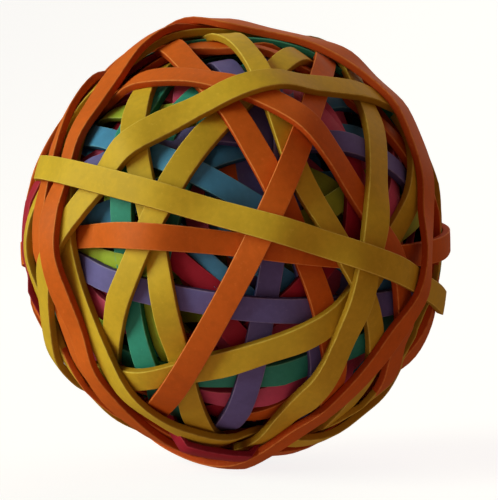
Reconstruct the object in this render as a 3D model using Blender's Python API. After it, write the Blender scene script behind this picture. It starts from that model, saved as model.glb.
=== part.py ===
"""Rubber band ball.

Flat rubber bands are stretched one over another round a solid ball of earlier bands. Each band is a
closed loop near a great circle of the ball. Where two bands cross, the upper one is pushed out and the
lower one in, until all of them have settled: a band is then taut from one support to the next, and
tips sideways where only one of its edges is held up.

The middle of the ball's box is the origin, +Z is up, and the side with the yellow sash faces -Y.
Lengths are in metres and angles in degrees.
"""

import math
from enum import Enum
from typing import NamedTuple

import bmesh
import bpy
import numpy as np
from mathutils import Vector

# Driving sizes. The laid diameter is across the last band if it crossed nothing: the crossings lift
# the settled ball to about 64 mm. The first band is laid deeper than the last by the first depth
LAID_DIAMETER = 0.0597
BAND_WIDTH = 0.0032
BAND_THICKNESS = 0.0008
LAY_GAP = 0.00027
FIRST_DEPTH = 0.002

# How finely the loops are modelled
OUTER_RINGS = 35
INNER_RINGS = 29
CORE_SUBDIVISIONS = 4
SMOOTH_ANGLE = math.radians(40)

# How bands slip off a crowded place. In front of the held depth, a share of the radius, they stay put
SLIP_PASSES = 60
SLIP_RATE = 0.25
SLIP_LIMIT = 18
CROWD_REACH = 7
HELD_DEPTH = -0.1

# How the ball settles: shares of the way moved in each pass, and where contact is looked for
SETTLING_PASSES = 500
LIFTING_PASSES = 60
EASE_BACK = 0.05
TAUTNESS = 0.08
FLATNESS = 0.08
SAMPLES_PER_RING = 5
SAMPLES_ACROSS = 5
EDGE_MARGIN = 1.15


class Rubber(Enum):
    """Colours of the rubber, as red, green and blue from 0 to 255."""

    YELLOW = (214, 184, 56)
    ORANGE = (214, 104, 40)
    PINK = (200, 72, 104)
    CRIMSON = (166, 36, 66)
    TEAL = (60, 150, 124)
    BLUE = (66, 128, 166)
    PURPLE = (104, 88, 148)
    LIME = (158, 186, 74)


RUBBER_ROUGHNESS = 0.55


class Wrap(NamedTuple):
    """One band's route: the pole it circles, and how far it strays from that great circle.

    heading and tilt point to the pole: heading turns from +X towards +Y, tilt rises to +Z.
    shift moves the whole loop towards the pole. bow and skew bend it, twice in one turn.
    """

    name: str
    rubber: Rubber
    heading: float
    tilt: float
    shift: float = 0.0
    bow: float = 0.0
    skew: float = 0.0


# The bands under the outer layer, in the order in which they were put on
INNER_WRAPS = (
    Wrap("lime_under_01", Rubber.LIME, -36, 25),
    Wrap("lime_under_02", Rubber.LIME, 52, 51),
    Wrap("crimson_under_01", Rubber.CRIMSON, 95, 2),
    Wrap("blue_under_01", Rubber.BLUE, -2, 56),
    Wrap("crimson_under_02", Rubber.CRIMSON, 118, 18),
    Wrap("pink_under_01", Rubber.PINK, -10, 11),
    Wrap("orange_under_01", Rubber.ORANGE, -124, 27),
    Wrap("pink_under_02", Rubber.PINK, -60, 46),
    Wrap("blue_under_02", Rubber.BLUE, 130, 55),
    Wrap("crimson_under_03", Rubber.CRIMSON, -135, 27),
    Wrap("blue_under_03", Rubber.BLUE, -14, 47),
    Wrap("pink_under_03", Rubber.PINK, -138, 43),
    Wrap("pink_under_04", Rubber.PINK, 41, 6),
    Wrap("pink_under_05", Rubber.PINK, -104, 41),
    Wrap("teal_under_01", Rubber.TEAL, 160, 14),
    Wrap("teal_under_02", Rubber.TEAL, -98, 50),
    Wrap("purple_under_01", Rubber.PURPLE, 97, 58),
    Wrap("purple_under_02", Rubber.PURPLE, 19, 13),
    Wrap("blue_under_04", Rubber.BLUE, 20, 60, 2),
    Wrap("teal_under_03", Rubber.TEAL, -32, 3),
    Wrap("purple_under_03", Rubber.PURPLE, -169, 8),
    Wrap("purple_under_04", Rubber.PURPLE, -69, 72),
)

# The outer layer, in the order in which it was put on
OUTER_WRAPS = (
    Wrap("orange_rim_top", Rubber.ORANGE, 90, 9),
    Wrap("orange_rim_bottom", Rubber.ORANGE, -90, 9),
    Wrap("yellow_upright", Rubber.YELLOW, -30.5, 6, 2, -7, -3),
    Wrap("orange_crown", Rubber.ORANGE, 77.5, 17),
    Wrap("yellow_slant_left", Rubber.YELLOW, 166.5, 30.5, 8, -1.5, -1.5),
    Wrap("orange_slant_right", Rubber.ORANGE, 20, 18, -3, -0.5, -2.5),
    Wrap("orange_edge_right", Rubber.ORANGE, 82, 0),
    Wrap("yellow_low_sweep", Rubber.YELLOW, -137.5, 42.5, 2, 7, 1),
    Wrap("orange_belt", Rubber.ORANGE, -125, 86.5, 1, 4.5),
    Wrap("yellow_slant_right", Rubber.YELLOW, 54.5, 6.5, -15, 11, -13),
    Wrap("orange_slant_middle", Rubber.ORANGE, -175.5, 27, 0.5, 1, -0.5),
    Wrap("orange_shoulder", Rubber.ORANGE, 45.5, 37.5, -3, -0.5, 4.5),
    Wrap("yellow_low_arc", Rubber.YELLOW, -56, 20, 2.5, -2.5, 3.5),
    Wrap("yellow_right", Rubber.YELLOW, -149.5, 15, -8, -3, 1),
    Wrap("yellow_edge_left", Rubber.YELLOW, 104.5, 4.5),
    Wrap("orange_edge_left", Rubber.ORANGE, -63.5, 11.5, -1, -0.5, 1),
    Wrap("yellow_brow", Rubber.YELLOW, 133, 42.5, 1.5, -3, -1.5),
    Wrap("orange_left", Rubber.ORANGE, 124, 0.5, -2, 2, -3),
    Wrap("yellow_sash", Rubber.YELLOW, 19, 70.5, 0.5, 0, -1.5),
    Wrap("orange_right", Rubber.ORANGE, -111.5, 1.5, 9, -1, 10),
)


def clear_scene() -> None:
    """Remove every object that the scene starts with."""
    for found in list(bpy.data.objects):
        bpy.data.objects.remove(found, do_unlink=True)


def linear(value: int) -> float:
    """Turn a colour value from 0 to 255 into the linear value that a shader takes."""
    share = value / 255
    return share / 12.92 if share <= 0.04045 else ((share + 0.055) / 1.055) ** 2.4


def rubber_material(name: str, rubber: Rubber) -> bpy.types.Material:
    """Make the material of one piece."""
    material = bpy.data.materials.new(name)
    material.use_nodes = True
    shader = material.node_tree.nodes["Principled BSDF"]
    shader.inputs["Base Color"].default_value = (*(linear(value) for value in rubber.value), 1.0)
    shader.inputs["Roughness"].default_value = RUBBER_ROUGHNESS
    shader.inputs["Metallic"].default_value = 0.0
    return material


def finish_object(name: str, shape: bmesh.types.BMesh, rubber: Rubber) -> bpy.types.Object:
    """Turn a finished shape into a named object with its own material."""
    if shape.calc_volume(signed=True) < 0:
        bmesh.ops.reverse_faces(shape, faces=shape.faces)
    mesh = bpy.data.meshes.new(name)
    shape.to_mesh(mesh)
    shape.free()
    mesh.shade_smooth()
    mesh.set_sharp_from_angle(angle=SMOOTH_ANGLE)
    mesh.materials.append(rubber_material(f"{name}_rubber", rubber))
    piece = bpy.data.objects.new(name, mesh)
    bpy.context.scene.collection.objects.link(piece)
    return piece


class Loop:
    """One band's route, and the inner radius of its two edges at each of its rings."""

    def __init__(self, wrap: Wrap, rings: int, radius: float) -> None:
        """Start the band as an even loop. radius is where it would lie if nothing crossed it."""
        self.wrap = wrap
        self.rings = rings
        self.step = math.tau / rings
        self.half_angle = BAND_WIDTH / 2 / radius
        heading, tilt = math.radians(wrap.heading), math.radians(wrap.tilt)
        pole = (math.cos(tilt) * math.cos(heading), math.cos(tilt) * math.sin(heading), math.sin(tilt))
        self.pole = np.array(pole)
        highest = np.array((0.0, 0.0, 1.0)) - self.pole * self.pole[2]
        self.start = highest / np.linalg.norm(highest)
        self.side = np.cross(self.pole, self.start)
        self.turns = np.arange(rings) * self.step
        self.free_radius = radius
        self.edges = np.full((rings, 2), radius)
        self.slip = np.zeros(rings)

    def latitude(self, turns: np.ndarray) -> np.ndarray:
        """Give the latitude of the band's middle line about its pole, in radians."""
        wrap = self.wrap
        bend = np.radians(wrap.shift + wrap.bow * np.cos(2 * turns) + wrap.skew * np.sin(2 * turns))
        return bend + np.interp(turns, self.turns, self.slip, period=math.tau)

    def directions(self, turns: np.ndarray, across: np.ndarray) -> np.ndarray:
        """Give unit directions from the ball's centre. across is -1 at one edge and 1 at the other."""
        turns, across = np.broadcast_arrays(turns, across)
        latitude = self.latitude(turns) + across * self.half_angle
        level = np.cos(turns)[..., None] * self.start + np.sin(turns)[..., None] * self.side
        return np.cos(latitude)[..., None] * level + np.sin(latitude)[..., None] * self.pole

    def place(self, directions: np.ndarray) -> tuple:
        """Give each direction's turn about the band's pole, and how far across the band it is."""
        turns = np.arctan2(directions @ self.side, directions @ self.start) % math.tau
        latitude = np.arcsin(np.clip(directions @ self.pole, -1, 1))
        return turns, (latitude - self.latitude(turns)) / self.half_angle

    def corners(self, turns: np.ndarray, across: np.ndarray) -> tuple:
        """Give the four ring corners round each place on the band, and what each adds to its radius.

        A flat between two rings is two triangles, which meet on the line from the first ring's near
        corner to the second ring's far one. A chord dips towards the centre, and the weights allow for it.
        """
        ring = np.minimum((turns / self.step).astype(int), self.rings - 1)
        later = (ring + 1) % self.rings
        share = turns - self.turns[ring]
        before, after = np.sin(self.step - share), np.sin(share)
        along = after / (before + after)
        dip = math.sin(self.step) / (before + after)
        aside = np.clip((across + 1) / 2, 0, 1)
        index = np.stack([2 * ring, 2 * ring + 1, 2 * later, 2 * later + 1], axis=-1)
        least, most = np.minimum(along, aside), np.maximum(along, aside)
        weight = np.stack([1 - most, np.maximum(aside - along, 0), np.maximum(along - aside, 0), least], axis=-1)
        return index, weight * dip[..., None]

    def build(self) -> bpy.types.Object:
        """Spin the band's section round its pole, then move each ring to where it settled."""
        shape = bmesh.new()
        inner, outer = 1.0, 1.1
        corners = ((inner, -1.0), (outer, -1.0), (outer, 1.0), (inner, 1.0))
        section = [shape.verts.new((radius, 0.0, height)) for radius, height in corners]
        sides = [shape.edges.new((section[place - 1], section[place])) for place in range(len(section))]
        bmesh.ops.spin(
            shape,
            geom=section + sides,
            cent=(0, 0, 0),
            axis=(0, 0, 1),
            angle=math.tau,
            steps=self.rings,
            use_merge=True,
        )
        ways = self.directions(self.turns[:, None], np.array([[-1.0, 1.0]]))
        places = {}
        for corner in shape.verts:
            turn = math.atan2(corner.co.y, corner.co.x)
            ring = round(turn / self.step) % self.rings
            edge = 0 if corner.co.z < 0 else 1
            places[corner] = (ring, edge)
            radius = self.edges[ring, edge]
            if math.hypot(corner.co.x, corner.co.y) > (inner + outer) / 2:
                radius += BAND_THICKNESS
            corner.co = Vector(ways[ring, edge] * radius)
        for face in list(shape.faces):
            if len({places[corner][1] for corner in face.verts}) == 2:
                self.split_flat(face, places)
        return finish_object(self.wrap.name, shape, self.wrap.rubber)

    def split_flat(self, face: bmesh.types.BMFace, places: dict) -> None:
        """Split a flat from its first ring's near corner to its second ring's far one."""
        for near in face.verts:
            ring, edge = places[near]
            for far in face.verts:
                if edge == 0 and places[far] == ((ring + 1) % self.rings, 1):
                    bmesh.utils.face_split(face, near, far)
                    return


class Corners:
    """Which ring corners a list of places pushes on, kept so that each corner's largest push is quick."""

    def __init__(self, index: np.ndarray, weight: np.ndarray) -> None:
        """Sort the corners once."""
        self.index = index
        self.weight = weight
        self.size = (weight**2).sum(axis=1)
        self.order = np.argsort(index, axis=None, kind="stable")
        self.slots, self.firsts = np.unique(index.ravel()[self.order], return_index=True)

    def radius(self, radii: np.ndarray) -> np.ndarray:
        """Give the radius at each place."""
        return (radii[self.index] * self.weight).sum(axis=1)

    def largest(self, push: np.ndarray, count: int) -> np.ndarray:
        """Give the largest push that each of count corners gets from all the places."""
        shared = (push[:, None] * self.weight).ravel()[self.order]
        result = np.zeros(count)
        result[self.slots] = np.maximum.reduceat(shared, self.firsts)
        return result


class Contacts:
    """Every place where one band lies over another, as pairs of weighted ring corners."""

    def __init__(self, loops: list) -> None:
        """Find the places by looking along many directions through each band."""
        self.starts = np.cumsum([0] + [2 * loop.rings for loop in loops])
        found: list = [[], [], [], []]
        across = np.linspace(-1, 1, SAMPLES_ACROSS)
        for place, loop in enumerate(loops):
            count = loop.rings * SAMPLES_PER_RING
            turns = np.repeat(np.arange(count) * math.tau / count, SAMPLES_ACROSS)
            aside = np.tile(across, count)
            ways = loop.directions(turns, aside)
            here = loop.corners(turns, aside)
            for other_place, other in enumerate(loops):
                other_turns, other_aside = other.place(ways)
                met = (np.abs(other_aside) <= EDGE_MARGIN) & (other_place != place)
                there = other.corners(other_turns[met], other_aside[met])
                upper = (here[0][met], here[1][met], place) if place > other_place else (*there, other_place)
                lower = (*there, other_place) if place > other_place else (here[0][met], here[1][met], place)
                for side, (index, weight, owner) in enumerate((upper, lower)):
                    found[2 * side].append(index + self.starts[owner])
                    found[2 * side + 1].append(weight)
        joined = [np.concatenate(part) for part in found]
        self.top = Corners(joined[0], joined[1])
        self.low = Corners(joined[2], joined[3])

    def overlap(self, radii: np.ndarray) -> np.ndarray:
        """Give how much closer than the lay gap the two bands are at each place."""
        low = self.low.radius(radii + BAND_THICKNESS)
        return np.maximum(low + LAY_GAP - self.top.radius(radii), 0)

    def part_evenly(self, radii: np.ndarray) -> np.ndarray:
        """Push the upper band out and the lower band in, by like amounts."""
        push = self.overlap(radii) / (self.top.size + self.low.size)
        return radii + self.top.largest(push, len(radii)) - self.low.largest(push, len(radii))

    def lift_upper(self, radii: np.ndarray) -> np.ndarray:
        """Push only the upper band, which in the end leaves no overlap anywhere."""
        return radii + self.top.largest(self.overlap(radii) / self.top.size, len(radii))


def slip_apart(loops: list) -> None:
    """Let the bands slip sideways off crowded places, wherever they don't face -Y."""
    reach = math.radians(CROWD_REACH)
    most = math.radians(SLIP_LIMIT)
    owner = np.repeat(np.arange(len(loops)), [loop.rings for loop in loops])
    for _ in range(SLIP_PASSES):
        ways = np.concatenate([loop.directions(loop.turns, np.zeros(loop.rings)) for loop in loops])
        edges = np.concatenate([loop.directions(loop.turns, np.ones(loop.rings)) for loop in loops])
        sideways = edges - ways
        sideways /= np.linalg.norm(sideways, axis=1, keepdims=True)
        crowd, slope = np.zeros(len(ways)), np.zeros(len(ways))
        for place, other in enumerate(loops):
            away = other.place(ways)[1] * other.half_angle / reach
            share = np.where(owner == place, 0, np.exp(-(away**2)))
            crowd += share
            slope -= 2 * away * share * (sideways @ other.pole)
        move = -SLIP_RATE * math.radians(1) * crowd * slope
        for place, loop in enumerate(loops):
            slip = loop.slip + move[owner == place]
            slip = slip / 2 + (np.roll(slip, 1) + np.roll(slip, -1)) / 4
            loop.slip = np.where(ways[owner == place, 1] < HELD_DEPTH, 0, np.clip(slip, -most, most))


def settle(loops: list) -> None:
    """Let the whole ball settle: each band is taut and even, and none cuts into another."""
    contacts = Contacts(loops)
    free = np.concatenate([np.full(2 * loop.rings, loop.free_radius) for loop in loops])
    radii = free.copy()
    for count in range(SETTLING_PASSES):
        ease = 1 - count / SETTLING_PASSES
        radii += EASE_BACK * ease * (free - radii)
        for loop, start in zip(loops, contacts.starts):
            edges = radii[start : start + 2 * loop.rings].reshape(-1, 2)
            edges += TAUTNESS * ease * ((np.roll(edges, 1, axis=0) + np.roll(edges, -1, axis=0)) / 2 - edges)
            edges += FLATNESS * ease * (edges.mean(axis=1, keepdims=True) - edges)
        radii = contacts.part_evenly(radii)
    for _ in range(LIFTING_PASSES):
        radii = contacts.lift_upper(radii)
    for loop, start in zip(loops, contacts.starts):
        loop.edges = radii[start : start + 2 * loop.rings].reshape(-1, 2)


def build_core(loops: list) -> bpy.types.Object:
    """Build the ball of earlier bands, which fills what the loops leave free inside them."""
    shape = bmesh.new()
    bmesh.ops.create_icosphere(shape, subdivisions=CORE_SUBDIVISIONS, radius=1.0)
    facet = max(edge.calc_length() for edge in shape.edges)
    ways = np.array([tuple(corner.co) for corner in shape.verts])
    radii = np.full(len(ways), np.mean([loop.edges.mean() for loop in loops]) - LAY_GAP)
    for loop in loops:
        count = loop.rings * SAMPLES_PER_RING
        turns = np.repeat(np.arange(count) * math.tau / count, 2)
        across = np.tile((-1.0, 1.0), count)
        index, weight = loop.corners(turns, across)
        inner = (loop.edges.ravel()[index] * weight).sum(axis=1) - LAY_GAP
        near = ways @ loop.directions(turns, across).T > math.cos(facet + math.tau / count)
        radii = np.minimum(radii, np.where(near, inner[None, :], np.inf).min(axis=1))
    for corner, radius in zip(shape.verts, radii):
        corner.co *= radius
    return finish_object("wound_core", shape, Rubber.PURPLE)


def centre(pieces: list) -> None:
    """Move the ball so that the middle of its box is the origin."""
    corners = np.array([tuple(corner.co) for piece in pieces for corner in piece.data.vertices])
    middle = Vector((corners.min(axis=0) + corners.max(axis=0)) / 2)
    for piece in pieces:
        for corner in piece.data.vertices:
            corner.co -= middle


def main() -> None:
    """Lay every band, let the ball settle, and build the core inside."""
    clear_scene()
    wraps = INNER_WRAPS + OUTER_WRAPS
    loops = []
    for place, wrap in enumerate(wraps):
        depth = FIRST_DEPTH * (1 - place / (len(wraps) - 1))
        radius = LAID_DIAMETER / 2 - BAND_THICKNESS - depth
        rings = OUTER_RINGS if wrap in OUTER_WRAPS else INNER_RINGS
        loops.append(Loop(wrap, rings, radius))
    slip_apart(loops)
    settle(loops)
    centre([build_core(loops)] + [loop.build() for loop in loops])


main()
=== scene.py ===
"""Looks of a rubber band ball: taut loops of satin rubber over a wound core, in a pale studio.

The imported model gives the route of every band. Each band is read from its node, drawn finely, and
settled on the bands that it crosses. The core gets a winding of its own, which shows in the gaps.

Lengths are in metres. A turn is an angle round a band's pole, and a latitude is an angle from the
pole's great circle towards the pole.
"""

from __future__ import annotations

import logging
import math
from dataclasses import dataclass
from enum import Enum

import bmesh
import bpy
import numpy as np
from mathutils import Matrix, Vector


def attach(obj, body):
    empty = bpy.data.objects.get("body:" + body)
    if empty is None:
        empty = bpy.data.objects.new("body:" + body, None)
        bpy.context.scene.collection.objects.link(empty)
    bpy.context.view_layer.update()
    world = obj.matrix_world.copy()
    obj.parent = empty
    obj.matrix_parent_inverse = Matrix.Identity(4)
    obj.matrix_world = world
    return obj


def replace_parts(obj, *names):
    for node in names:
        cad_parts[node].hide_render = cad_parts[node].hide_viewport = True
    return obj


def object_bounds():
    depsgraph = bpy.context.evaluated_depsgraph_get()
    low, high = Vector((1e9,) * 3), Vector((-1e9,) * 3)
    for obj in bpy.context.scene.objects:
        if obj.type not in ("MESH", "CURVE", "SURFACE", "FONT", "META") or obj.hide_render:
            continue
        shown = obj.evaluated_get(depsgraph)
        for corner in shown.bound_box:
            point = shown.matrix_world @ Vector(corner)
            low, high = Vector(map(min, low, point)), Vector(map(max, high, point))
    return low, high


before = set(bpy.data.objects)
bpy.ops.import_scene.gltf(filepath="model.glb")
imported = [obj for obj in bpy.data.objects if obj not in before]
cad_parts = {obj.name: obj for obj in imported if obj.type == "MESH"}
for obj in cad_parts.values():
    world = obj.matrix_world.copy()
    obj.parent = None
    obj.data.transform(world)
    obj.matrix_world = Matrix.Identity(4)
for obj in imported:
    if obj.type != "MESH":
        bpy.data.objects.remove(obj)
CAD_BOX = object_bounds()

log = logging.getLogger("rubber_band_ball")

MM = 0.001
WELD = 0.001 * MM
CORE_NODE = "wound_core"
Tone = tuple[int, int, int]


class Rubber(Enum):
    """Colours of the bands, each with the name of its material."""

    YELLOW = "yellow_rubber"
    ORANGE = "orange_rubber"
    PINK = "pink_rubber"
    CRIMSON = "crimson_rubber"
    TEAL = "teal_rubber"
    BLUE = "blue_rubber"
    PURPLE = "purple_rubber"
    LIME = "lime_rubber"
    CORE = "core_rubber"


class Value:
    """A number that varies over a surface. Arithmetic on it adds Math nodes to its recipe."""

    def __init__(self, recipe: Recipe, socket: bpy.types.NodeSocket) -> None:
        """Wrap one output socket."""
        self.recipe = recipe
        self.socket = socket

    def __add__(self, other: Value | float) -> Value:
        """Give the sum."""
        return self.recipe.maths("ADD", self, other)

    def __rsub__(self, other: float) -> Value:
        """Give the difference from a plain number."""
        return self.recipe.maths("SUBTRACT", other, self)

    def __mul__(self, other: Value | float) -> Value:
        """Give the product."""
        return self.recipe.maths("MULTIPLY", self, other)

    __radd__ = __add__

    def __abs__(self) -> Value:
        """Give the size without its sign."""
        return self.recipe.maths("ABSOLUTE", self)

    def between(self, low: float, high: float) -> Value:
        """Rise smoothly from 0 to 1.

        Args:
            low: Where the rise starts.
            high: Where it ends.

        Returns:
            The risen number.
        """
        node = self.recipe.add(
            "ShaderNodeMapRange",
            {"interpolation_type": "SMOOTHSTEP"},
            {"Value": self, "From Min": low, "From Max": high},
        )
        return Value(self.recipe, node.outputs["Result"])


class Recipe:
    """The node tree of one material."""

    def __init__(self, name: str) -> None:
        """Start a material with only a Principled shader and its output.

        Args:
            name: The material's name.
        """
        self.material = bpy.data.materials.new(name)
        self.material.use_nodes = True
        self.tree = self.material.node_tree
        self.shader = self.tree.nodes["Principled BSDF"]

    def add(self, kind: str, settings: dict, sockets: dict) -> bpy.types.Node:
        """Add one node.

        Args:
            kind: The node's type.
            settings: Its properties, which are set first.
            sockets: What each input takes: a Value, an output socket or a plain value.

        Returns:
            The new node.
        """
        node = self.tree.nodes.new(kind)
        for key, setting in settings.items():
            setattr(node, key, setting)
        for key, source in sockets.items():
            self.feed(node.inputs[key], source)
        return node

    def feed(self, socket: bpy.types.NodeSocket, source: object) -> None:
        """Link or set one input.

        Args:
            socket: The input.
            source: A Value, an output socket or a plain value.
        """
        if isinstance(source, Value):
            source = source.socket
        if isinstance(source, bpy.types.NodeSocket):
            self.tree.links.new(source, socket)
        else:
            socket.default_value = source

    def maths(self, operation: str, first: Value | float, second: Value | float = 0.0) -> Value:
        """Add one Math node.

        Args:
            operation: The node's operation.
            first: Its first value.
            second: Its second value, where it takes one.

        Returns:
            The result.
        """
        node = self.add("ShaderNodeMath", {"operation": operation}, {0: first, 1: second})
        return Value(self, node.outputs[0])

    def attribute(self, name: str) -> Value:
        """Read a number that the mesh stores at each vertex."""
        node = self.add("ShaderNodeAttribute", {"attribute_name": name}, {})
        return Value(self, node.outputs["Fac"])

    def noise(self, grain: float, detail: float, roughness: float = 0.55) -> Value:
        """Make a cloudy pattern on Object coordinates.

        Args:
            grain: The size of one blotch.
            detail: How many finer layers it has.
            roughness: How strong each finer layer is beside the one before.

        Returns:
            The pattern, from 0 to 1 and mostly near a half.
        """
        place = self.add("ShaderNodeTexCoord", {}, {}).outputs["Object"]
        node = self.add(
            "ShaderNodeTexNoise",
            {},
            {"Vector": place, "Scale": 1.0 / grain, "Detail": detail, "Roughness": roughness},
        )
        return Value(self, node.outputs["Fac"])

    def mix(self, share: Value | float, first: object, second: object) -> bpy.types.NodeSocket:
        """Blend two colours.

        Args:
            share: How much of the second there is.
            first: A colour or an output socket.
            second: A colour or an output socket.

        Returns:
            The blended colour's socket.
        """
        # A Mix node has sockets for every kind of data. Its colours are inputs 6 and 7 and output 2
        node = self.add("ShaderNodeMix", {"data_type": "RGBA"}, {0: share, 6: first, 7: second})
        return node.outputs[2]


def linear(tone: Tone, shade: float = 1.0) -> tuple[float, float, float, float]:
    """Turn a tone from 0 to 255 into the linear colour that a shader takes.

    Args:
        tone: Red, green and blue as a picture shows them.
        shade: A factor on the linear colour.

    Returns:
        Red, green, blue and a full alpha.
    """
    values = []
    for part in tone:
        share = part / 255
        value = share / 12.92 if share <= 0.04045 else ((share + 0.055) / 1.055) ** 2.4
        values.append(min(value * shade, 1.0))
    return (*values, 1.0)


@dataclass(frozen=True)
class RubberFinish:
    """Satin rubber of one colour, cut from a tube, a little mottled and dusty.

    The face is the rubber's own tone. The darker tone is painted shade on the cut sides, and the
    pale tone is dust, and also a painted highlight along the band's upper edges. A range says where
    something starts to show and where it shows fully. A share says how much of it there is then.
    The painted highlight is stronger in some patches than in others.
    """

    face: Tone
    side_shade: Tone
    pale: Tone
    roughness: float = 0.5
    specular: float = 0.14
    shades: tuple[float, float] = (0.92, 1.07)

    cloud_grain: float = 5.0 * MM
    mottle_grain: float = 0.9 * MM
    dust_grain: float = 0.45 * MM
    saw_grain: float = 0.3 * MM
    fine_grain: float = 0.16 * MM

    blotch_range: tuple[float, float] = (0.36, 0.66)
    side_range: tuple[float, float] = (0.965, 0.99)
    top_range: tuple[float, float] = (0.93, 1.0)
    # Ranges of the painted highlight along the upper edges, and of its patches
    edge_highlight_range: tuple[float, float] = (0.9, 0.965)
    edge_highlight_height_range: tuple[float, float] = (0.75, 0.95)
    highlight_patch_range: tuple[float, float] = (0.3, 0.6)
    dust_range: tuple[float, float] = (0.62, 0.78)

    cloud_share: float = 0.55
    mottle_share: float = 0.45
    # How much painted shade the cut sides get
    side_shade_share: float = 0.75
    # How strong the painted highlight along the upper edges is, and how much more it gets in its
    # patches
    edge_highlight_share: float = 0.25
    highlight_patch_share: float = 0.3
    dust_share: float = 0.22

    blotch_roughness: float = 0.08
    side_roughness: float = 0.2
    dust_roughness: float = 0.1

    mottle_relief: float = 0.5
    fine_relief: float = 0.3
    saw_relief: float = 0.8
    relief_strength: float = 0.35
    relief_depth: float = 0.05 * MM

    def material(self, name: str) -> bpy.types.Material:
        """Make the material.

        Args:
            name: The material's name.

        Returns:
            A material that reads each vertex's place across and through the band.
        """
        recipe = Recipe(name)
        across = abs(recipe.attribute("across"))
        height = recipe.attribute("height")
        cloud = recipe.noise(self.cloud_grain, detail=3.0)
        mottle = recipe.noise(self.mottle_grain, detail=4.0)
        fine = recipe.noise(self.fine_grain, detail=2.0)
        saw = recipe.noise(self.saw_grain, detail=2.0)
        blotch = cloud * self.cloud_share + mottle * self.mottle_share
        blotch = blotch.between(*self.blotch_range)
        # Mask of the cut sides below the upper face. It carries painted shade in the colour, and
        # real roughness and relief
        side = across.between(*self.side_range) * (1.0 - height.between(*self.top_range))
        # Painted highlight: a pale line along the band's upper edges, as though they caught the
        # light, stronger in random patches
        edge_highlight = across.between(*self.edge_highlight_range) * height.between(*self.edge_highlight_height_range)
        highlight_patches = mottle.between(*self.highlight_patch_range)
        dust = recipe.noise(self.dust_grain, detail=3.0).between(*self.dust_range)

        dark, light = (linear(self.face, shade) for shade in self.shades)
        tone = recipe.mix(blotch, dark, light)
        # Painted shade: the cut sides are darkened towards the darker tone, as if less light fell
        # on them
        tone = recipe.mix(side * self.side_shade_share, tone, linear(self.side_shade))
        # Painted highlight along the upper edges, towards the pale tone; the next mix is real dust
        # in the same tone
        tone = recipe.mix(edge_highlight * (self.edge_highlight_share + highlight_patches * self.highlight_patch_share), tone, linear(self.pale))
        tone = recipe.mix(dust * self.dust_share, tone, linear(self.pale))
        recipe.feed(recipe.shader.inputs["Base Color"], tone)

        rough = self.roughness + blotch * self.blotch_roughness + side * self.side_roughness
        recipe.feed(recipe.shader.inputs["Roughness"], rough + dust * self.dust_roughness)
        recipe.shader.inputs["Specular IOR Level"].default_value = self.specular

        relief = mottle * self.mottle_relief + fine * self.fine_relief
        relief = relief + side * saw * self.saw_relief
        bump = recipe.add(
            "ShaderNodeBump",
            {},
            {"Strength": self.relief_strength, "Distance": self.relief_depth, "Height": relief},
        )
        recipe.feed(recipe.shader.inputs["Normal"], bump.outputs[0])
        return recipe.material


# In each finish the second tone is painted shade for the cut sides, and the third is dust and a
# painted highlight along the upper edges
FINISHES = {
    Rubber.YELLOW: RubberFinish(face=(212, 176, 52), side_shade=(158, 112, 20), pale=(238, 214, 104)),
    Rubber.ORANGE: RubberFinish(face=(212, 100, 32), side_shade=(176, 58, 12), pale=(242, 156, 88)),
    Rubber.PINK: RubberFinish(face=(202, 80, 120), side_shade=(144, 30, 56), pale=(232, 122, 142)),
    Rubber.CRIMSON: RubberFinish(face=(170, 34, 60), side_shade=(108, 16, 34), pale=(204, 80, 100)),
    Rubber.TEAL: RubberFinish(face=(54, 148, 136), side_shade=(26, 92, 72), pale=(112, 196, 164)),
    Rubber.BLUE: RubberFinish(face=(74, 142, 198), side_shade=(30, 78, 104), pale=(118, 174, 198)),
    Rubber.PURPLE: RubberFinish(face=(106, 100, 170), side_shade=(66, 56, 104), pale=(160, 148, 198)),
    Rubber.LIME: RubberFinish(face=(162, 184, 62), side_shade=(98, 118, 34), pale=(204, 220, 122)),
    # The core's near-black tone is painted shade: it shows as the darkness at the bottom of the
    # deepest gaps
    Rubber.CORE: RubberFinish(face=(44, 26, 34), side_shade=(30, 16, 22), pale=(60, 40, 48)),
}


@dataclass(frozen=True)
class Section:
    """The cross-section of a band: a flat strip with slightly rounded cut edges."""

    thickness: float
    rounding: float
    arc_steps: int
    flat_places: tuple[float, ...]

    def outline(self, half_width: float) -> list[tuple[float, float]]:
        """Walk round the section.

        Args:
            half_width: From the band's middle line to its cut edge.

        Returns:
            Places as distances across from the middle line and up from the inner face.
        """
        places = []
        corners = ((1, 0, -90), (1, 1, 0), (-1, 1, 90), (-1, 0, 180))
        for side, top, start in corners:
            middle = side * (half_width - self.rounding)
            level = self.thickness - self.rounding if top else self.rounding
            for step in range(self.arc_steps + 1):
                angle = math.radians(start + 90 * step / self.arc_steps)
                aside = middle + self.rounding * math.cos(angle)
                places.append((aside, level + self.rounding * math.sin(angle)))
            if side == 1 and top:
                flat = reversed(self.flat_places)
                places += [(share * half_width, self.thickness) for share in flat]
            if side == -1 and not top:
                places += [(share * half_width, 0.0) for share in self.flat_places]
        return places


BAND_SECTION = Section(
    thickness=1.06 * MM,
    rounding=0.1 * MM,
    arc_steps=3,
    flat_places=(-0.88, -0.4, 0.0, 0.4, 0.88),
)
WINDING_SECTION = Section(thickness=0.9 * MM, rounding=0.1 * MM, arc_steps=2, flat_places=(0.0,))

# Every loop has this many rings. Crossings are looked for at these places across each of them, in
# half widths from the middle line, and as far aside of the other band
RINGS = 150
STEP = math.tau / RINGS
ACROSS = (-1.0, -0.5, 0.0, 0.5, 1.0)
REACH = 1.15


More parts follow.
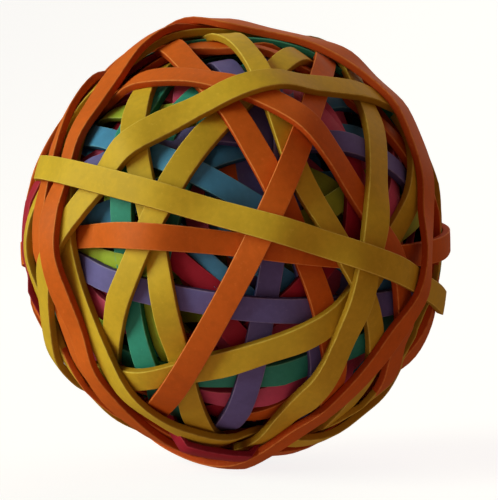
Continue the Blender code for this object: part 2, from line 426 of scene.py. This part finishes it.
def round_curve(points: np.ndarray, count: int) -> np.ndarray:
    """Draw a smooth closed curve through points.

    Args:
        points: The points in order, one row each.
        count: How many places the curve gets.

    Returns:
        The places, one row each.
    """
    place = np.arange(count) * len(points) / count
    index = place.astype(int)
    share = (place - index)[:, None]
    before, here, after, later = (points[(index + step) % len(points)] for step in (-1, 0, 1, 2))
    slope, end_slope = (after - before) / 2, (later - here) / 2
    rise = 3 * (after - here) - 2 * slope - end_slope
    bend = 2 * (here - after) + slope + end_slope
    return here + share * (slope + share * (rise + share * bend))


@dataclass
class Loop:
    """One closed band: its latitude, half width and inner radii at even turns round its pole."""

    name: str
    rubber: Rubber
    pole: np.ndarray
    latitude: np.ndarray
    half_angle: np.ndarray
    radii: np.ndarray

    def __post_init__(self) -> None:
        """Set up the two directions that turns are measured from."""
        self.start, self.side = self.axes(self.pole)

    @staticmethod
    def axes(pole: np.ndarray) -> tuple[np.ndarray, np.ndarray]:
        """Give the direction where turns begin, and the one a quarter turn on.

        Args:
            pole: The loop's pole.

        Returns:
            Two unit directions on the pole's great circle.
        """
        helper = np.eye(3)[np.argmin(np.abs(pole))]
        start = helper - pole * (helper @ pole)
        start /= np.linalg.norm(start)
        return start, np.cross(pole, start)

    @classmethod
    def from_node(cls, name: str) -> Loop:
        """Read a band's route from its node, which has four corners at each of its rings.

        Args:
            name: The node's name.

        Returns:
            The same band, drawn smoothly and at even turns.
        """
        shape = bmesh.new()
        shape.from_mesh(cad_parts[name].data)
        bmesh.ops.remove_doubles(shape, verts=shape.verts, dist=WELD)
        corners = np.array([tuple(corner.co) for corner in shape.verts])
        shape.free()
        pole = np.linalg.svd(corners - corners.mean(axis=0))[2][2]
        start, side = cls.axes(pole)
        turns = np.arctan2(corners @ side, corners @ start)
        order = np.argsort(turns)
        gaps = np.diff(turns[order], append=turns[order[0]] + math.tau)
        # Count from the widest gap, so that each ring's four corners come together
        rings = np.roll(corners[order], -1 - int(np.argmax(gaps)), axis=0).reshape(-1, 4, 3)
        # Pair the two corners of each cut edge, and keep the one nearer to the middle
        levels = np.argsort(rings @ pole / np.linalg.norm(rings, axis=2), axis=1)
        edges = np.take_along_axis(rings, levels[..., None], axis=1).reshape(-1, 2, 2, 3)
        nearest = np.argmin(np.linalg.norm(edges, axis=3), axis=2)
        inner = np.take_along_axis(edges, nearest[..., None, None], axis=2)[:, :, 0]
        even = np.arange(RINGS) * STEP
        latitudes, radii = [], []
        for edge in (0, 1):
            curve = round_curve(inner[:, edge], 4 * RINGS)
            distance = np.linalg.norm(curve, axis=1)
            latitude = np.arcsin(curve @ pole / distance)
            turn = np.arctan2(curve @ side, curve @ start) % math.tau
            latitudes.append(np.interp(even, turn, latitude, period=math.tau))
            radii.append(np.interp(even, turn, distance, period=math.tau))
        return cls(
            name,
            Rubber[name.split("_")[0].upper()],
            pole,
            (latitudes[0] + latitudes[1]) / 2,
            (latitudes[1] - latitudes[0]) / 2,
            np.stack(radii, axis=1),
        )

    @classmethod
    def level(cls, rubber: Rubber, pole: np.ndarray, radius: float, width: float) -> Loop:
        """Lay a turn of the winding evenly on a great circle.

        Args:
            rubber: Its colour.
            pole: The unit direction that it circles.
            radius: The radius of its inner face.
            width: Its width.

        Returns:
            The loop.
        """
        half = np.full(RINGS, width / 2 / radius)
        return cls("winding", rubber, pole, np.zeros(RINGS), half, np.full((RINGS, 2), radius))

    @staticmethod
    def spread() -> tuple[np.ndarray, np.ndarray]:
        """Give turns and places across a band that sample it evenly, ring by ring."""
        return np.repeat(np.arange(RINGS) * STEP, len(ACROSS)), np.tile(ACROSS, RINGS)

    def directions(self, turns: np.ndarray, across: np.ndarray) -> np.ndarray:
        """Give unit directions from the ball's middle.

        Args:
            turns: Turns round the pole.
            across: Places across the band, from -1 to 1.

        Returns:
            One direction for each place.
        """
        latitude = np.interp(turns, np.arange(RINGS) * STEP, self.latitude, period=math.tau)
        half = np.interp(turns, np.arange(RINGS) * STEP, self.half_angle, period=math.tau)
        latitude = latitude + across * half
        level = np.cos(turns)[:, None] * self.start + np.sin(turns)[:, None] * self.side
        return np.cos(latitude)[:, None] * level + np.sin(latitude)[:, None] * self.pole

    def place(self, ways: np.ndarray) -> tuple[np.ndarray, np.ndarray]:
        """Find where directions meet the loop.

        Args:
            ways: Unit directions.

        Returns:
            Their turns and their places across the band.
        """
        turns = np.arctan2(ways @ self.side, ways @ self.start) % math.tau
        rings = np.arange(RINGS) * STEP
        middle = np.interp(turns, rings, self.latitude, period=math.tau)
        half = np.interp(turns, rings, self.half_angle, period=math.tau)
        return turns, (np.arcsin(np.clip(ways @ self.pole, -1, 1)) - middle) / half

    @staticmethod
    def corners(turns: np.ndarray, across: np.ndarray) -> tuple[np.ndarray, np.ndarray]:
        """Find the four ring corners round each place.

        Args:
            turns: Turns round the pole.
            across: Places across the band.

        Returns:
            The corners' numbers and what each adds to the place's radius.
        """
        ring = np.minimum((turns / STEP).astype(int), RINGS - 1)
        later = (ring + 1) % RINGS
        along = turns / STEP - ring
        aside = np.clip((across + 1) / 2, 0, 1)
        index = np.stack([2 * ring, 2 * ring + 1, 2 * later, 2 * later + 1], axis=1)
        near, far = 1 - along, along
        weight = [near * (1 - aside), near * aside, far * (1 - aside), far * aside]
        return index, np.stack(weight, axis=1)

    def drawn(self, section: Section, width: float) -> bmesh.types.BMesh:
        """Spin the section into a ring, then bend the ring onto the loop's route.

        Args:
            section: The band's cross-section.
            width: The band's width where it lies at its mean radius.

        Returns:
            The finished shape, with its places across and through the band stored.
        """
        shape = bmesh.new()
        half = width / 2
        corners = [shape.verts.new((1 + up, 0, aside)) for aside, up in section.outline(half)]
        pairs = zip(corners[-1:] + corners[:-1], corners)
        sides = [shape.edges.new(pair) for pair in pairs]
        bmesh.ops.spin(
            shape,
            geom=corners + sides,
            cent=(0, 0, 0),
            axis=(0, 0, 1),
            angle=math.tau,
            steps=RINGS,
            use_merge=True,
        )
        flat = np.array([tuple(corner.co) for corner in shape.verts])
        turns = np.arctan2(flat[:, 1], flat[:, 0]) % math.tau
        across = flat[:, 2] / half
        height = np.hypot(flat[:, 0], flat[:, 1]) - 1
        index, weight = self.corners(turns, across)
        radius = (self.radii.ravel()[index] * weight).sum(axis=1) + height
        places = self.directions(turns, across) * radius[:, None]
        across_layer = shape.verts.layers.float.new("across")
        height_layer = shape.verts.layers.float.new("height")
        height = height / section.thickness
        for corner, place, aside, up in zip(shape.verts, places, across, height):
            corner.co = Vector(place)
            corner[across_layer] = aside
            corner[height_layer] = up
        if shape.calc_volume(signed=True) < 0:
            bmesh.ops.reverse_faces(shape, faces=shape.faces)
        return shape


class Pushes:
    """What the crossings push on, kept so that each corner's largest push is quick to find."""

    def __init__(self, index: np.ndarray, weight: np.ndarray, count: int) -> None:
        """Sort the pushed corners once.

        Args:
            index: The four corners round each crossing place.
            weight: What each of them adds to the place's radius.
            count: How many corners there are in all.
        """
        self.weight = weight / (weight**2).sum(axis=1, keepdims=True)
        self.order = np.argsort(index, axis=None, kind="stable")
        self.slots, self.firsts = np.unique(index.ravel()[self.order], return_index=True)
        self.count = count

    def largest(self, push: np.ndarray) -> np.ndarray:
        """Give the largest push on each corner.

        Args:
            push: How far each crossing place has to move.

        Returns:
            How far each corner moves.
        """
        shared = (push[:, None] * self.weight).ravel()[self.order]
        result = np.zeros(self.count)
        result[self.slots] = np.maximum.reduceat(shared, self.firsts)
        return result


@dataclass
class Pile:
    """The bands, with the places where they cross, so that they can settle."""

    loops: list[Loop]
    gap: float = 0.02 * MM
    passes: int = 90
    strict_passes: int = 40
    hold: float = 0.04
    taut: float = 0.3

    def __post_init__(self) -> None:
        """Find every crossing once, with the band that lies higher there as its top."""
        turns, across = Loop.spread()
        ways = np.concatenate([loop.directions(turns, across) for loop in self.loops])
        owner = np.repeat(np.arange(len(self.loops)), len(turns))
        own_index, own_weight = Loop.corners(turns, across)
        radii = self.radii()
        size = 2 * RINGS
        found: list[list[np.ndarray]] = [[], [], [], []]
        for place, loop in enumerate(self.loops):
            other_turns, other_across = loop.place(ways)
            met = np.flatnonzero((np.abs(other_across) <= REACH) & (owner != place))
            there, there_weight = Loop.corners(other_turns[met], other_across[met])
            there = there + place * size
            here = own_index[met % len(turns)] + owner[met][:, None] * size
            here_weight = own_weight[met % len(turns)]
            own_radius = (radii[here] * here_weight).sum(axis=1)
            other_radius = (radii[there] * there_weight).sum(axis=1)
            above = (own_radius > other_radius)[:, None]
            found[0].append(np.where(above, here, there))
            found[1].append(np.where(above, here_weight, there_weight))
            found[2].append(np.where(above, there, here))
            found[3].append(np.where(above, there_weight, here_weight))
        parts = [np.concatenate(part) for part in found]
        self.top, self.top_weight, self.low, self.low_weight = parts
        self.rises = Pushes(self.top, self.top_weight, len(radii))
        self.sinks = Pushes(self.low, self.low_weight, len(radii))

    def radii(self) -> np.ndarray:
        """Give the inner radii of all the loops' corners in one row."""
        return np.concatenate([loop.radii.ravel() for loop in self.loops])

    def overlap(self, radii: np.ndarray) -> np.ndarray:
        """Give how far the two bands cut into each other at each crossing place."""
        low = (radii[self.low] * self.low_weight).sum(axis=1) + BAND_SECTION.thickness + self.gap
        return np.maximum(low - (radii[self.top] * self.top_weight).sum(axis=1), 0)

    def settle(self) -> None:
        """Pull every band taut, and part the bands where they cross."""
        target = self.radii()
        radii = target.copy()
        for count in range(self.passes):
            ease = 1 - count / self.passes
            radii += self.hold * (target - radii)
            rings = radii.reshape(-1, RINGS, 2)
            even = (np.roll(rings, 1, axis=1) + np.roll(rings, -1, axis=1)) / 2
            radii = (rings + self.taut * ease * (even - rings)).ravel()
            cut = self.overlap(radii) / 2
            radii = radii + self.rises.largest(cut) - self.sinks.largest(cut)
        for _ in range(self.strict_passes):
            radii = radii + self.rises.largest(self.overlap(radii))
        for loop, part in zip(self.loops, radii.reshape(-1, RINGS, 2)):
            loop.radii = part
        moved = (radii - target) / MM
        log.info("bands moved %.2f to %.2f mm from their nodes", moved.min(), moved.max())
        log.info("deepest cut left %.3f mm", self.overlap(radii).max() / MM)


@dataclass(frozen=True)
class PhotoLens:
    """The camera that took the photo: level with the ball's middle, in front of it."""

    distance: float = 0.256
    focal_pixels: float = 1718.0
    middle_x: float = 234.3
    middle_y: float = 242.1

    def seen_at(self, pixel: tuple[int, int], radius: float) -> np.ndarray:
        """Find what a pixel of the photo shows on a ball.

        Args:
            pixel: The pixel, across and down.
            radius: The ball's radius.

        Returns:
            The unit direction from the ball's middle. Off the ball, it is that of the nearest rim.
        """
        across = (pixel[0] - self.middle_x) / self.focal_pixels
        up = (self.middle_y - pixel[1]) / self.focal_pixels
        sight = np.array((across, 1.0, up))
        sight /= np.linalg.norm(sight)
        eye = np.array((0.0, -self.distance, 0.0))
        along = -(eye @ sight)
        spare = radius**2 - eye @ eye + along**2
        place = eye + sight * (along - math.sqrt(max(spare, 0.0)))
        return place / np.linalg.norm(place)


@dataclass(frozen=True)
class Shelf:
    """How far out a turn lies in its gap, and for how many degrees round the gap's middle.

    There it lies over whatever has a lower inner face.
    """

    level: float
    over: float
    opening: float


DEEP = Shelf(level=26.4 * MM, over=0.0, opening=26.0)
NEAR = Shelf(level=27.9 * MM, over=27.5 * MM, opening=26.0)
OUTLINE = Shelf(level=32.05 * MM, over=33.0 * MM, opening=20.0)


@dataclass(frozen=True)
class Glimpse:
    """A turn of the winding that the photo shows in a gap, by two pixels that it passes through."""

    rubber: Rubber
    enters: tuple[int, int]
    leaves: tuple[int, int]
    shelf: Shelf = NEAR


# The first lies outermost, and each of the others under those before it
GLIMPSES = (
    Glimpse(Rubber.CRIMSON, (204, 455), (230, 459), OUTLINE),
    Glimpse(Rubber.PURPLE, (247, 165), (252, 192), DEEP),
    Glimpse(Rubber.ORANGE, (222, 150), (228, 190), DEEP),
    Glimpse(Rubber.LIME, (108, 114), (166, 111)),
    Glimpse(Rubber.PINK, (80, 287), (100, 309)),
    Glimpse(Rubber.PINK, (352, 374), (368, 345)),
    Glimpse(Rubber.CRIMSON, (351, 150), (355, 230)),
    Glimpse(Rubber.CRIMSON, (172, 256), (200, 280)),
    Glimpse(Rubber.PINK, (60, 330), (74, 366)),
    Glimpse(Rubber.PINK, (90, 165), (103, 155)),
    Glimpse(Rubber.BLUE, (88, 222), (107, 212)),
    Glimpse(Rubber.PINK, (322, 116), (333, 130)),
    Glimpse(Rubber.PINK, (118, 100), (131, 94)),
    Glimpse(Rubber.LIME, (352, 192), (322, 212)),
    Glimpse(Rubber.LIME, (155, 320), (163, 345)),
    Glimpse(Rubber.CRIMSON, (290, 302), (306, 286)),
    Glimpse(Rubber.LIME, (85, 256), (108, 262)),
    Glimpse(Rubber.LIME, (395, 236), (412, 222)),
    Glimpse(Rubber.CRIMSON, (222, 320), (240, 340)),
    Glimpse(Rubber.CRIMSON, (274, 362), (288, 352)),
    Glimpse(Rubber.CRIMSON, (35, 195), (45, 225)),
    Glimpse(Rubber.PURPLE, (70, 190), (82, 184)),
    Glimpse(Rubber.PURPLE, (376, 300), (392, 308)),
    Glimpse(Rubber.PURPLE, (420, 310), (432, 314)),
    Glimpse(Rubber.PURPLE, (296, 430), (313, 415)),
    Glimpse(Rubber.BLUE, (330, 100), (366, 104)),
    Glimpse(Rubber.BLUE, (312, 160), (328, 185), DEEP),
    Glimpse(Rubber.TEAL, (187, 101), (197, 92)),
    Glimpse(Rubber.TEAL, (415, 325), (420, 335)),
    Glimpse(Rubber.TEAL, (179, 436), (194, 438)),
    Glimpse(Rubber.TEAL, (262, 42), (284, 46)),
    Glimpse(Rubber.ORANGE, (250, 418), (280, 410)),
)


@dataclass(frozen=True)
class RimTurn:
    """A turn that fills in between the bands, just inside the outline that the photo shows.

    Its pole's heading, from +X towards +Y, and its tilt up are in degrees.
    """

    rubber: Rubber
    heading: float
    tilt: float


RIM_TURNS = (
    RimTurn(Rubber.ORANGE, 91, -1),
    RimTurn(Rubber.CRIMSON, 99, 4),
    RimTurn(Rubber.YELLOW, 83, -6),
    RimTurn(Rubber.TEAL, 88, 8),
    RimTurn(Rubber.ORANGE, 96, -9),
)


HIDDEN_COLOURS = (
    Rubber.PINK,
    Rubber.BLUE,
    Rubber.LIME,
    Rubber.CRIMSON,
    Rubber.PURPLE,
    Rubber.TEAL,
    Rubber.ORANGE,
)


@dataclass
class Winding:
    """The turns wound on the core. Each is pressed in by all that lies over it.

    The floor is how far in the first turn goes at most, and each later one goes a step deeper. A
    turn's ceiling is eased over as many rings as the easing says. Angles are in degrees.
    """

    lens: PhotoLens
    width: float = 3.2 * MM
    level: float = 28.8 * MM
    rim_level: float = 30.6 * MM
    rim_bite: float = 0.4 * MM
    floor: float = 24.6 * MM
    floor_step: float = 0.08 * MM
    gap: float = 0.05 * MM
    easing: int = 2
    aims: int = 4
    hidden_turns: int = 30
    golden_angle: float = 137.5
    golden_share: float = 0.618

    def hidden(self) -> list[Loop]:
        """Make the turns under those, with their poles spread evenly and their colours mixed.

        Returns:
            The turns, still level.
        """
        loops = []
        for count in range(self.hidden_turns):
            tilt = math.degrees(math.asin((count * self.golden_share) % 1))
            pole = self.pole(count * self.golden_angle, tilt)
            rubber = HIDDEN_COLOURS[count % len(HIDDEN_COLOURS)]
            loops.append(self.turn(rubber, pole, self.level))
        return loops

    def turn(self, rubber: Rubber, pole: np.ndarray, level: float) -> Loop:
        """Give one level turn of the winding."""
        return Loop.level(rubber, pole, level, self.width)

    @staticmethod
    def pole(heading: float, tilt: float) -> np.ndarray:
        """Give the direction at a heading from +X towards +Y and a tilt up, both in degrees."""
        heading, tilt = math.radians(heading), math.radians(tilt)
        flat = math.cos(tilt)
        return np.array((flat * math.cos(heading), flat * math.sin(heading), math.sin(tilt)))

    def lay(self, bands: list[Loop]) -> list[Loop]:
        """Lay the rim's turns among the bands, then the rest one by one from the outermost inwards.

        Args:
            bands: The settled bands.

        Returns:
            The turns.
        """
        turns = []
        for rim in RIM_TURNS:
            loop = self.turn(rim.rubber, self.pole(rim.heading, rim.tilt), self.rim_level)
            self.press(loop, bands + turns, self.floor, self.rim_level - self.rim_bite)
            turns.append(loop)
        floor = self.floor
        for glimpse in GLIMPSES:
            turns.append(self.reveal(glimpse, bands + turns, floor))
            floor -= self.floor_step
        for loop in self.hidden():
            self.press(loop, bands + turns, floor)
            turns.append(loop)
            floor -= self.floor_step
        log.info("winding: %d turns", len(turns))
        return turns

    def reveal(self, glimpse: Glimpse, covers: list[Loop], floor: float) -> Loop:
        """Lay a turn where the photo shows it, aiming again each time that it has been pressed in.

        Args:
            glimpse: What the photo shows.
            covers: The loops that may lie over the turn.
            floor: How far in it goes at most.

        Returns:
            The turn.
        """
        turns, across = Loop.spread()
        shelf = glimpse.shelf
        levels = (shelf.level, shelf.level)
        for _ in range(self.aims):
            pixels = (glimpse.enters, glimpse.leaves)
            ends = [self.lens.seen_at(pixel, level) for pixel, level in zip(pixels, levels)]
            ends = np.array(ends)
            pole = np.cross(*ends)
            loop = self.turn(glimpse.rubber, pole / np.linalg.norm(pole), shelf.level)
            middle = ends.sum(axis=0) / np.linalg.norm(ends.sum(axis=0))
            nearness = loop.directions(turns, across) @ middle
            inside = nearness > math.cos(math.radians(shelf.opening))
            outside = ~inside.reshape(RINGS, -1).any(axis=1)
            loop.radii[outside] = min(shelf.level, self.level)
            self.press(loop, covers, floor, np.where(inside, shelf.over, 0.0))
            index, weight = Loop.corners(*loop.place(ends))
            inner = (loop.radii.ravel()[index] * weight).sum(axis=1)
            levels = inner + WINDING_SECTION.thickness
        return loop

    def press(
        self, loop: Loop, covers: list[Loop], floor: float, least: float | np.ndarray = 0.0
    ) -> None:
        """Press a turn in under what crosses over it.

        The lowest ceiling within the easing on both sides, averaged over as many rings, is never
        above the ceiling itself, so the turn stays clear and still bends gently.

        Args:
            loop: The turn, still level.
            covers: The loops that may lie over it.
            floor: How far in it goes at most, where nothing of it shows any more.
            least: A cover whose inner face is lower than this passes under the turn. It is one
                radius, or one for each place that is looked at.
        """
        turns, across = Loop.spread()
        ways = loop.directions(turns, across)
        thickness = WINDING_SECTION.thickness + self.gap
        ceiling = np.repeat(loop.radii[:, 0], len(ACROSS)) + thickness
        for cover in covers:
            cover_turns, cover_across = cover.place(ways)
            index, weight = Loop.corners(cover_turns, cover_across)
            over = (cover.radii.ravel()[index] * weight).sum(axis=1)
            presses = (np.abs(cover_across) <= REACH) & (over > least)
            ceiling = np.where(presses, np.minimum(ceiling, over), ceiling)
        room = ceiling.reshape(RINGS, len(ACROSS)) - thickness
        middle = len(ACROSS) // 2
        halves = (room[:, : middle + 1], room[:, middle:])
        edges = np.stack([half.min(axis=1) for half in halves], axis=1)
        window = range(-self.easing, self.easing + 1)
        lowest = np.min([np.roll(edges, step, axis=0) for step in window], axis=0)
        eased = np.mean([np.roll(lowest, step, axis=0) for step in window], axis=0)
        loop.radii = np.maximum(eased, floor)


@dataclass
class BandBall:
    """The whole ball: the bands over, the winding under them, and the core."""

    winding: Winding
    band_width: float = 3.2 * MM
    core_shrink: float = 0.985
    core_cuts: int = 2
    core_smoothing: float = 0.5

    def __post_init__(self) -> None:
        """Make one material for each colour."""
        self.materials = {
            rubber: finish.material(rubber.value) for rubber, finish in FINISHES.items()
        }

    def build(self) -> list[bpy.types.Object]:
        """Build every piece of the ball.

        Returns:
            The pieces.
        """
        bands = [Loop.from_node(name) for name in sorted(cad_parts) if name != CORE_NODE]
        Pile(bands).settle()
        turns = self.winding.lay(bands)
        pieces = [self.core()]
        for rubber in Rubber:
            same = [turn for turn in turns if turn.rubber is rubber]
            if same:
                pieces.append(self.wound(rubber, same))
        for band in bands:
            shape = band.drawn(BAND_SECTION, self.band_width)
            piece = self.piece(f"band_{band.name}", shape, band.rubber)
            pieces.append(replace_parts(piece, band.name))
        return pieces

    def wound(self, rubber: Rubber, turns: list[Loop]) -> bpy.types.Object:
        """Join the winding's turns of one colour.

        Args:
            rubber: Their colour.
            turns: The turns.

        Returns:
            One piece.
        """
        joined = bmesh.new()
        for turn in turns:
            part = turn.drawn(WINDING_SECTION, self.winding.width)
            mesh = bpy.data.meshes.new("part")
            part.to_mesh(mesh)
            part.free()
            joined.from_mesh(mesh)
            bpy.data.meshes.remove(mesh)
        return self.piece(f"winding_{rubber.name.lower()}", joined, rubber)

    def core(self) -> bpy.types.Object:
        """Smooth the core's node and draw it in a little, under the winding.

        Returns:
            The core's piece.
        """
        shape = bmesh.new()
        shape.from_mesh(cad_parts[CORE_NODE].data)
        bmesh.ops.remove_doubles(shape, verts=shape.verts, dist=WELD)
        bmesh.ops.subdivide_edges(
            shape,
            edges=shape.edges,
            cuts=self.core_cuts,
            smooth=self.core_smoothing,
            use_grid_fill=True,
        )
        bmesh.ops.scale(shape, vec=(self.core_shrink,) * 3, verts=shape.verts)
        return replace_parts(self.piece("core_ball", shape, Rubber.CORE), CORE_NODE)

    def piece(self, name: str, shape: bmesh.types.BMesh, rubber: Rubber) -> bpy.types.Object:
        """Turn a shape into a dressed piece that rides on the ball.

        Args:
            name: The piece's name.
            shape: Its shape, which is freed.
            rubber: Its colour.

        Returns:
            The piece.
        """
        mesh = bpy.data.meshes.new(name)
        shape.to_mesh(mesh)
        shape.free()
        mesh.shade_smooth()
        mesh.materials.append(self.materials[rubber])
        piece = bpy.data.objects.new(name, mesh)
        bpy.context.scene.collection.objects.link(piece)
        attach(piece, "root")
        mesh.calc_loop_triangles()
        log.info("%s: %d triangles", name, len(mesh.loop_triangles))
        return piece


@dataclass(frozen=True)
class Sunlight:
    """A soft light from far off, with its angles in degrees. Headings go from -Y towards +X."""

    strength: float
    softness: float
    heading: float
    tilt: float
    tone: Tone = (255, 255, 255)

    def hang(self, name: str) -> None:
        """Add the light to the scene.

        Args:
            name: The light's name.
        """
        light = bpy.data.objects.new(name, bpy.data.lights.new(name, "SUN"))
        light.data.energy = self.strength
        light.data.angle = math.radians(self.softness)
        light.data.color = linear(self.tone)[:3]
        heading, tilt = math.radians(self.heading), math.radians(self.tilt)
        flat = math.cos(tilt)
        way = Vector((flat * math.sin(heading), -flat * math.cos(heading), math.sin(tilt)))
        light.rotation_euler = way.to_track_quat("Z", "Y").to_euler()
        bpy.context.scene.collection.objects.link(light)


@dataclass(frozen=True)
class Studio:
    """A pale floor that sweeps up all round, a soft key light from the upper left, and the camera.

    The floor glows a little, and is seen only by the camera. The sensor is in millimetres.
    """

    lens: PhotoLens
    floor_radius: float = 0.9
    sweep: float = 0.35
    sweep_steps: int = 12
    round_steps: int = 96
    wall_height: float = 0.9
    floor_weld: float = 0.01 * MM
    floor_tone: Tone = (136, 136, 136)
    floor_roughness: float = 0.9
    floor_glow: float = 0.85
    picture: tuple[int, int] = (498, 500)
    sensor: float = 36.0
    near_clip: float = 0.01
    key: Sunlight = Sunlight(
        strength=2.8, softness=40.0, heading=-74.0, tilt=20.0, tone=(242, 255, 222)
    )
    top: Sunlight = Sunlight(
        strength=0.85, softness=70.0, heading=150.0, tilt=42.0, tone=(255, 228, 206)
    )
    bounce: Sunlight = Sunlight(
        strength=0.5, softness=90.0, heading=-25.0, tilt=-50.0, tone=(255, 222, 198)
    )
    room_tone: Tone = (255, 202, 166)
    room_strength: float = 0.17

    def build(self) -> None:
        """Set up the whole studio."""
        self.floor()
        self.lights()
        self.camera()

    def floor(self) -> None:
        """Spin the floor's outline into a wide dish that the ball rests in the middle of."""
        shape = bmesh.new()
        lowest = CAD_BOX[0][2]
        outline = [(0.0, 0.0)]
        for step in range(self.sweep_steps + 1):
            angle = math.radians(90 * step / self.sweep_steps)
            along = self.floor_radius + self.sweep * math.sin(angle)
            outline.append((along, self.sweep * (1 - math.cos(angle))))
        outline.append((self.floor_radius + self.sweep, self.wall_height))
        corners = [shape.verts.new((along, 0, lowest + up)) for along, up in outline]
        edges = [shape.edges.new(pair) for pair in zip(corners, corners[1:])]
        bmesh.ops.spin(
            shape,
            geom=corners + edges,
            cent=(0, 0, 0),
            axis=(0, 0, 1),
            angle=math.tau,
            steps=self.round_steps,
            use_merge=True,
        )
        bmesh.ops.remove_doubles(shape, verts=shape.verts, dist=self.floor_weld)
        bmesh.ops.recalc_face_normals(shape, faces=shape.faces)
        bmesh.ops.reverse_faces(shape, faces=shape.faces)
        mesh = bpy.data.meshes.new("studio_floor")
        shape.to_mesh(mesh)
        shape.free()
        mesh.shade_smooth()
        recipe = Recipe("floor_paper")
        recipe.shader.inputs["Base Color"].default_value = linear(self.floor_tone)
        recipe.shader.inputs["Roughness"].default_value = self.floor_roughness
        recipe.shader.inputs["Emission Color"].default_value = (1.0, 1.0, 1.0, 1.0)
        recipe.shader.inputs["Emission Strength"].default_value = self.floor_glow
        mesh.materials.append(recipe.material)
        floor = bpy.data.objects.new("studio_floor", mesh)
        floor.visible_diffuse = False
        floor.visible_glossy = False
        floor.visible_shadow = False
        bpy.context.scene.collection.objects.link(floor)

    def lights(self) -> None:
        """Hang the key, the top light and the floor's bounce, and light the room warmly."""
        self.key.hang("key_light")
        self.top.hang("top_light")
        self.bounce.hang("bounce_light")
        world = bpy.data.worlds.new("studio_room")
        world.use_nodes = True
        room = world.node_tree.nodes["Background"]
        room.inputs["Color"].default_value = linear(self.room_tone)
        room.inputs["Strength"].default_value = self.room_strength
        bpy.context.scene.world = world
        bpy.context.scene.view_settings.view_transform = "Standard"

    def camera(self) -> None:
        """Place the camera level with the ball's middle, as the photo was taken."""
        width, height = self.picture
        optics = bpy.data.cameras.new("photo_camera")
        optics.sensor_width = self.sensor
        optics.sensor_fit = "HORIZONTAL"
        optics.lens = self.sensor * self.lens.focal_pixels / width
        optics.shift_x = (width / 2 - self.lens.middle_x) / width
        optics.shift_y = (self.lens.middle_y - height / 2) / width
        optics.clip_start = self.near_clip
        camera = bpy.data.objects.new("photo_camera", optics)
        camera.location = (0.0, -self.lens.distance, 0.0)
        camera.rotation_euler = (math.radians(90), 0.0, 0.0)
        bpy.context.scene.collection.objects.link(camera)
        bpy.context.scene.camera = camera


def main() -> None:
    """Build the ball and the studio."""
    logging.basicConfig(level=logging.INFO, format="%(message)s")
    lens = PhotoLens()
    Studio(lens).build()
    pieces = BandBall(Winding(lens)).build()
    log.info("%d pieces", len(pieces))


if __name__ == "__main__":
    main()
